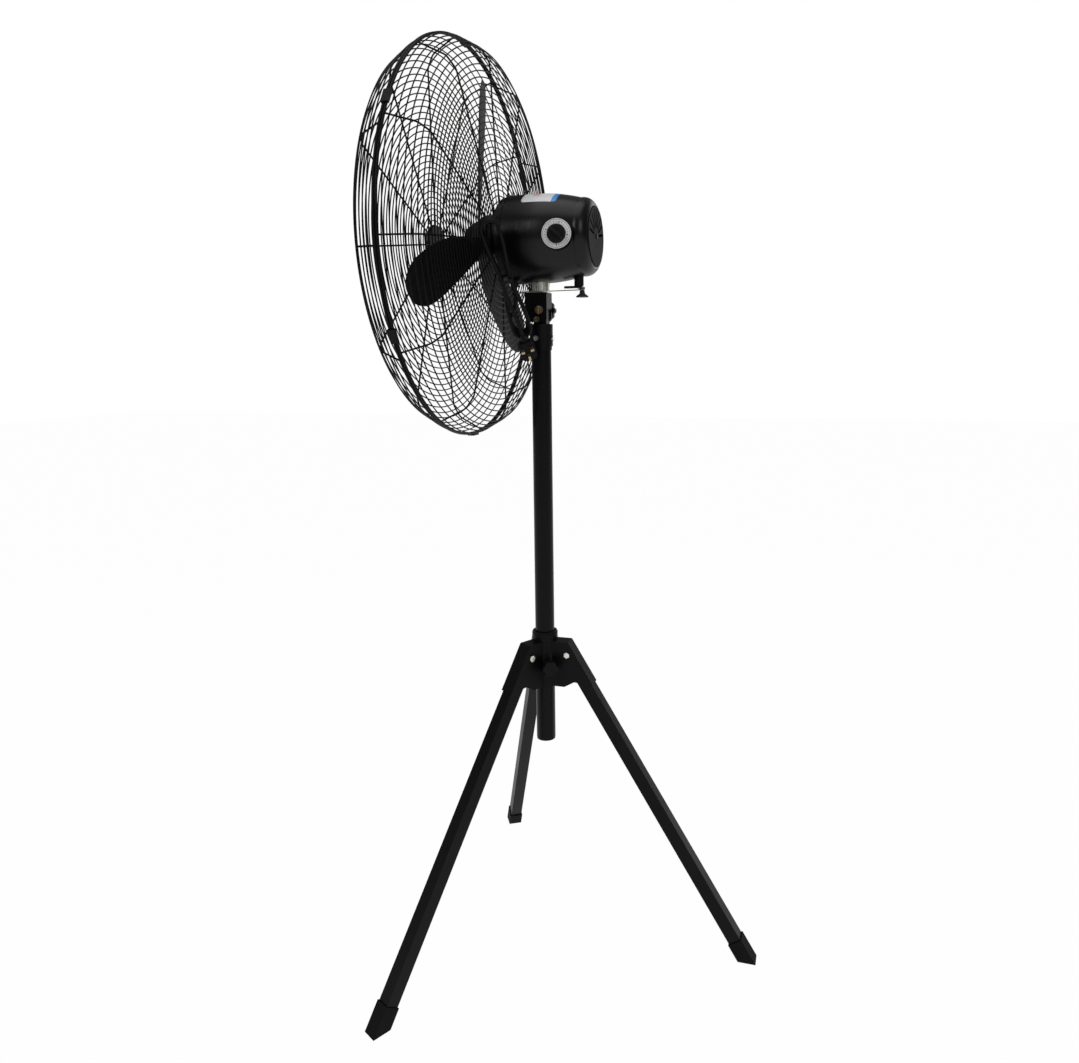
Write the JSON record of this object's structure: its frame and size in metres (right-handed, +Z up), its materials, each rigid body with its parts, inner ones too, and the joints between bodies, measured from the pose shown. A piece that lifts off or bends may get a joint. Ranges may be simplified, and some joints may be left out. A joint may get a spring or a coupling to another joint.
{
  "type": "industrial tripod fan",
  "caption": "Black industrial fan with a round wire guard on a folding tripod stand, with tilt, swing, height and speed controls and its mains cord tied in a hank.",
  "frame": {"origin": "floor, in the middle of the fan's footprint", "axes": "+Z up along the column, -Y the way the air is blown, +X to the side of the speed dial"},
  "size_m": [0.7568, 0.6461, 1.7752],
  "materials": {
    "leg_paint": "satin",
    "hub_paint": "satin",
    "foot_rubber": "matte",
    "column_paint": "satin",
    "cast_black": "satin",
    "zinc": "satin",
    "brass": "satin",
    "black_plastic": "matte",
    "grey_plastic": "matte",
    "white_plastic": "matte",
    "motor_paint": "satin",
    "steel": "satin",
    "copper_wire": "satin",
    "aluminium": "satin",
    "blade_plastic": "matte",
    "guard_wire": "satin",
    "medallion": "gloss",
    "cord_rubber": "matte"
  },
  "bodies": {
    "stand": {"hub_tube": "hub_paint", "column_bush": "black_plastic", "leg_channel_left": "hub_paint", "leg_channel_rear": "hub_paint", "leg_channel_right": "hub_paint", "leg_bolts": "zinc"},
    "left_leg": {"leg_left": "leg_paint", "foot_left": "foot_rubber"},
    "rear_leg": {"leg_rear": "leg_paint", "foot_rear": "foot_rubber"},
    "right_leg": {"leg_right": "leg_paint", "foot_right": "foot_rubber"},
    "height_lock": {"height_knob": "black_plastic"},
    "column": {"column_tube": "column_paint", "column_end_plug": "black_plastic", "neck_socket": "cast_black", "socket_screws": "zinc"},
    "tilt_head": {"tilt_bracket": "cast_black", "tilt_bolt": "brass", "tilt_stop_screw": "brass", "swivel_plate": "zinc"},
    "tilt_lock": {"tilt_knob": "black_plastic"},
    "speed_knob": {"dial_knob": "black_plastic"},
    "rotor": {"rotor_core": "steel", "motor_shaft": "steel", "fan_blades": "blade_plastic", "blade_nut": "black_plastic"},
    "crank_arm": {"crank": "cast_black"},
    "link": {"swing_link": "zinc"},
    "swing_knob": {"link_knob": "grey_plastic"},
    "head": {"motor_shell": "motor_paint", "motor_front_cap": "motor_paint", "motor_end_cap": "motor_paint", "end_cap_screw": "zinc", "swivel_sleeve": "zinc", "front_bearing": "steel", "rear_bearing": "steel", "rear_bearing_carrier": "steel", "gearbox": "cast_black", "stator_core": "steel", "stator_windings": "copper_wire", "stator_posts": "aluminium", "capacitor": "white_plastic", "rear_guard_frame": "guard_wire", "front_guard_frame": "guard_wire", "rear_guard_rings": "guard_wire", "front_guard_rings": "guard_wire", "guard_clips": "black_plastic", "guard_medallion": "medallion", "guard_seat_screws": "zinc", "dial_plate": "white_plastic", "speed_switch": "white_plastic", "cord_gland": "black_plastic", "power_cord": "cord_rubber", "cord_hank": "cord_rubber", "mains_plug": "cord_rubber", "plug_pins": "brass", "cord_tie": "black_plastic"}
  },
  "joints": [
    {"name": "left_leg_fold", "type": "hinge", "parent": "stand", "child": "left_leg", "pos_m": [0.0433, -0.12515, 0.582], "axis": [0.5, 0.866, 0], "range_deg": [0, 31.4]},
    {"name": "rear_leg_fold", "type": "hinge", "parent": "stand", "child": "rear_leg", "pos_m": [0, -0.05015, 0.582], "axis": [-1, 0, 0], "range_deg": [0, 31.4]},
    {"name": "right_leg_fold", "type": "hinge", "parent": "stand", "child": "right_leg", "pos_m": [-0.0433, -0.12515, 0.582], "axis": [0.5, -0.866, 0], "range_deg": [0, 31.4]},
    {"name": "column_slide", "type": "slide", "parent": "stand", "child": "column", "axis": [0, 0, 1], "range_m": [-0.38, 0.1]},
    {"name": "height_lock_turn", "type": "hinge", "parent": "stand", "child": "height_lock", "pos_m": [0.0433, -0.07515, 0.56], "axis": [0.866, 0.5, 0], "range_deg": [0, 360]},
    {"name": "head_tilt", "type": "hinge", "parent": "column", "child": "tilt_head", "pos_m": [0, -0.09815, 1.26], "axis": [1, 0, 0], "range_deg": [-15, 12]},
    {"name": "tilt_lock_turn", "type": "hinge", "parent": "tilt_head", "child": "tilt_lock", "pos_m": [-0.025, -0.09815, 1.26], "axis": [-1, 0, 0], "range_deg": [0, 360]},
    {"name": "head_swing", "type": "hinge", "parent": "tilt_head", "child": "head", "pos_m": [0, -0.10015, 1.3], "axis": [0, 0, 1], "range_deg": [-35, 35]},
    {"name": "speed_turn", "type": "hinge", "parent": "head", "child": "speed_knob", "pos_m": [0.08912, -0.04062, 1.392], "axis": [0.9903, 0.1392, 0], "range_deg": [0, 270]},
    {"name": "blade_spin", "type": "hinge", "parent": "head", "child": "rotor", "pos_m": [0, -0.24615, 1.395], "axis": [0, 1, 0], "continuous": true},
    {"name": "crank_turn", "type": "hinge", "parent": "head", "child": "crank_arm", "pos_m": [0, -0.02315, 1.302], "axis": [0, 0, 1], "range_deg": [-44.66, 44.66]},
    {"name": "link_turn", "type": "hinge", "parent": "crank_arm", "child": "link", "pos_m": [-0.0319, -0.02566, 1.299], "axis": [0, 0, 1], "range_deg": [-42.7, 42.7]},
    {"name": "swing_knob_turn", "type": "hinge", "parent": "crank_arm", "child": "swing_knob", "pos_m": [-0.0319, -0.02566, 1.29], "axis": [0, 0, 1], "range_deg": [-90, 90]}
  ],
  "couplings": [
    {"joint": "crank_turn", "follows": "head_swing", "ratio": -1.2744},
    {"joint": "link_turn", "follows": "head_swing", "ratio": 1.2176}
  ]
}
